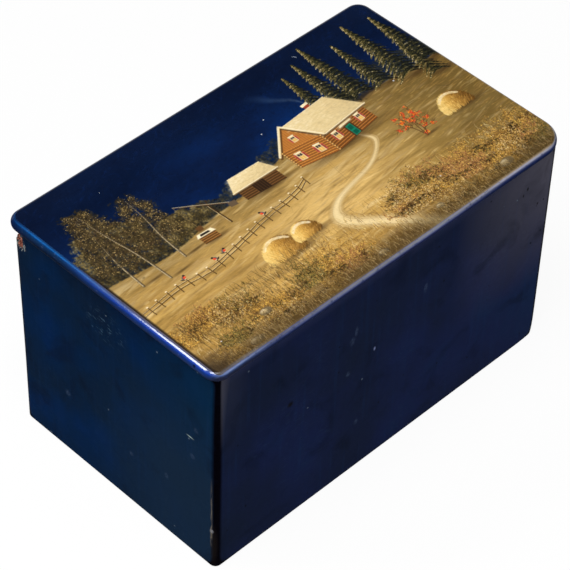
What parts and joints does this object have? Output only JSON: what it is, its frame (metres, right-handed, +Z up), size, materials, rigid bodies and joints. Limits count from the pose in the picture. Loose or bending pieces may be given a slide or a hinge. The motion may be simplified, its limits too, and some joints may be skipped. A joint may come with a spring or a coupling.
{
  "type": "hinged lacquer box",
  "caption": "Deep rectangular box of lacquered papier-mache with a flat painted lid that overhangs its walls and opens on a brass strip hinge along the back.",
  "frame": {"origin": "centre of the footprint, on the surface that the box stands on", "axes": "+X along the box to the right, +Y towards the hinge at the back, +Z up"},
  "size_m": [0.1652, 0.1, 0.0962],
  "materials": {
    "blue_lacquer": "gloss",
    "painted_lid": "gloss",
    "black_lacquer": "gloss",
    "red_lacquer": "gloss",
    "brass": "satin"
  },
  "bodies": {
    "case": {"wall_tube": "blue_lacquer", "bottom_board": "black_lacquer", "hinge_body_leaf": "brass", "hinge_pin": "brass", "hinge_body_nails": "brass"},
    "lid": {"lid_board": "painted_lid", "lid_strip_front": "red_lacquer", "lid_strip_back": "red_lacquer", "lid_strip_left": "red_lacquer", "lid_strip_right": "red_lacquer", "hinge_lid_leaf": "brass", "hinge_lid_nails": "brass"}
  },
  "joints": [
    {"name": "lid_hinge", "type": "hinge", "parent": "case", "child": "lid", "pos_m": [0, 0.0482, 0.0921], "axis": [-1, 0, 0], "range_deg": [0, 105]}
  ]
}
